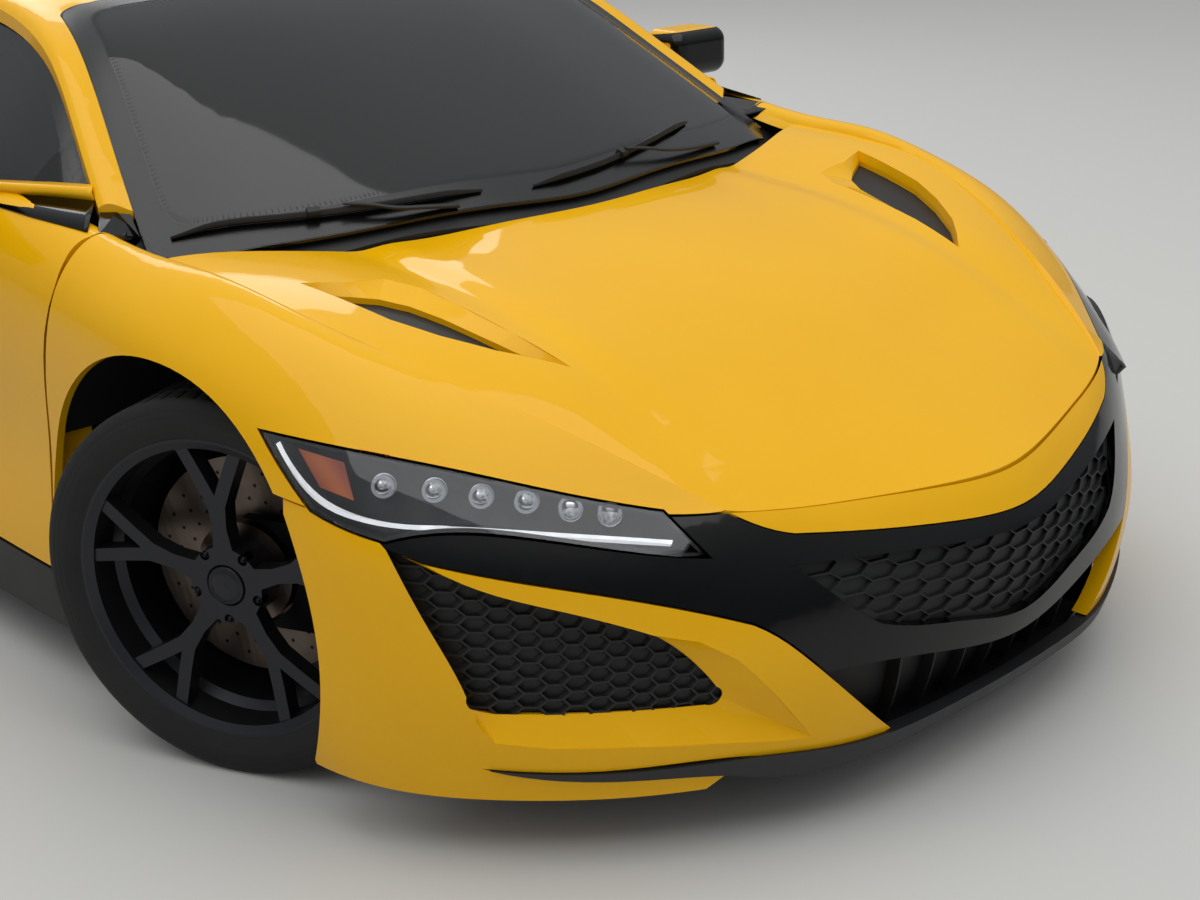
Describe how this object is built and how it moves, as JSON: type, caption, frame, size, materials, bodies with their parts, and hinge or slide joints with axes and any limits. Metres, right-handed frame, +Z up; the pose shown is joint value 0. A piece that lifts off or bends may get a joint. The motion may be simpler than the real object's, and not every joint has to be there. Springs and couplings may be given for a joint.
{
  "type": "two-seat mid-engined sports coupe car",
  "caption": "Low two-seat sports coupe with steered front wheels, opening doors, front lid and rear glass hatch, and free-rolling wheels",
  "frame": {"origin": "on the ground under the middle of the car's bounding box", "axes": "+X is the car's left side, -Y its front, +Z up"},
  "size_m": [2.216, 4.4884, 1.2132],
  "materials": {
    "yellow_enamel": "gloss",
    "gloss_black": "gloss",
    "black_plastic": "matte",
    "tinted_glass": "clear",
    "lamp_chrome": "polished",
    "guide_white": "gloss",
    "amber_reflector": "gloss",
    "clear_lens": "clear",
    "red_lens": "gloss",
    "mirror_face": "polished",
    "dark_rim": "satin",
    "tyre_rubber": "matte",
    "disc_iron": "machined",
    "dark_iron": "cast",
    "frame_aluminium": "mill",
    "engine_aluminium": "cast",
    "pipe_steel": "brushed",
    "seat_leather": "soft"
  },
  "bodies": {
    "body": {"body_frame": "frame_aluminium", "front_fenders": "yellow_enamel", "front_bumper": "yellow_enamel", "nose_band": "gloss_black", "front_splitter": "black_plastic", "windscreen": "tinted_glass", "roof_frame": "yellow_enamel", "cowl_panel": "black_plastic", "quarter_panels": "yellow_enamel", "side_intakes": "gloss_black", "side_sills": "black_plastic", "rear_bumper": "yellow_enamel", "tail_lamps": "red_lens", "rear_diffuser": "black_plastic", "grille_meshes": "black_plastic", "slot_fins": "black_plastic", "headlamp_lenses": "clear_lens", "headlamp_housings": "black_plastic", "headlamp_units": "lamp_chrome", "headlamp_guides": "guide_white", "headlamp_reflectors": "amber_reflector", "arch_liners": "black_plastic", "rear_knuckles": "dark_iron", "suspension_arms": "dark_iron", "engine_block": "engine_aluminium", "exhaust_pipes": "pipe_steel", "seats": "seat_leather", "dashboard": "black_plastic", "wipers": "black_plastic"},
    "hood": {"hood": "yellow_enamel", "hood_vents": "black_plastic"},
    "hatch": {"hatch_frame": "yellow_enamel", "hatch_glass": "tinted_glass"},
    "steering_wheel": {"steering_wheel": "black_plastic"},
    "door_left": {"door_left": "yellow_enamel", "door_glass_left": "tinted_glass", "mirror_left": "yellow_enamel", "mirror_glass_left": "mirror_face"},
    "knuckle_front_left": {"knuckle_front_left": "dark_iron"},
    "wheel_front_left": {"rim_front_left": "dark_rim", "tyre_front_left": "tyre_rubber", "brake_disc_front_left": "disc_iron"},
    "wheel_rear_left": {"rim_rear_left": "dark_rim", "tyre_rear_left": "tyre_rubber", "brake_disc_rear_left": "disc_iron"},
    "door_right": {"door_right": "yellow_enamel", "door_glass_right": "tinted_glass", "mirror_right": "yellow_enamel", "mirror_glass_right": "mirror_face"},
    "knuckle_front_right": {"knuckle_front_right": "dark_iron"},
    "wheel_front_right": {"rim_front_right": "dark_rim", "tyre_front_right": "tyre_rubber", "brake_disc_front_right": "disc_iron"},
    "wheel_rear_right": {"rim_rear_right": "dark_rim", "tyre_rear_right": "tyre_rubber", "brake_disc_rear_right": "disc_iron"}
  },
  "joints": [
    {"name": "steering_left", "type": "hinge", "parent": "body", "child": "knuckle_front_left", "pos_m": [0.7485, -1.261, 0.327], "axis": [0, 0, 1], "range_deg": [-56, 8]},
    {"name": "steering_right", "type": "hinge", "parent": "body", "child": "knuckle_front_right", "pos_m": [-0.7485, -1.261, 0.327], "axis": [0, 0, 1], "range_deg": [-56, 8]},
    {"name": "steering_wheel_turn", "type": "hinge", "parent": "body", "child": "steering_wheel", "pos_m": [0.37, -0.35, 0.72], "axis": [0, 0.9272, 0.3746], "range_deg": [-728, 104]},
    {"name": "wheel_front_left_spin", "type": "hinge", "parent": "knuckle_front_left", "child": "wheel_front_left", "pos_m": [0.81702, -1.23049, 0.327], "axis": [0.9135, 0.4067, 0], "continuous": true},
    {"name": "wheel_rear_left_spin", "type": "hinge", "parent": "body", "child": "wheel_rear_left", "pos_m": [0.805, 1.369, 0.3455], "axis": [1, 0, 0], "continuous": true},
    {"name": "door_left_hinge", "type": "hinge", "parent": "body", "child": "door_left", "pos_m": [0.885, -1, 0.757], "axis": [0, 0, -1], "range_deg": [0, 55]},
    {"name": "wheel_front_right_spin", "type": "hinge", "parent": "knuckle_front_right", "child": "wheel_front_right", "pos_m": [-0.81702, -1.2915, 0.327], "axis": [0.9135, 0.4067, 0], "continuous": true},
    {"name": "wheel_rear_right_spin", "type": "hinge", "parent": "body", "child": "wheel_rear_right", "pos_m": [-0.805, 1.369, 0.3455], "axis": [1, 0, 0], "continuous": true},
    {"name": "door_right_hinge", "type": "hinge", "parent": "body", "child": "door_right", "pos_m": [-0.885, -1, 0.757], "axis": [0, 0, 1], "range_deg": [0, 55]},
    {"name": "hood_hinge", "type": "hinge", "parent": "body", "child": "hood", "pos_m": [0, -1.075, 0.778], "axis": [-1, 0, 0], "range_deg": [0, 45]},
    {"name": "hatch_hinge", "type": "hinge", "parent": "body", "child": "hatch", "pos_m": [0, 0.394, 1.189], "axis": [1, 0, 0], "range_deg": [0, 50]}
  ],
  "couplings": [
    {"joint": "steering_right", "follows": "steering_left", "ratio": 1},
    {"joint": "steering_wheel_turn", "follows": "steering_left", "ratio": 13}
  ]
}
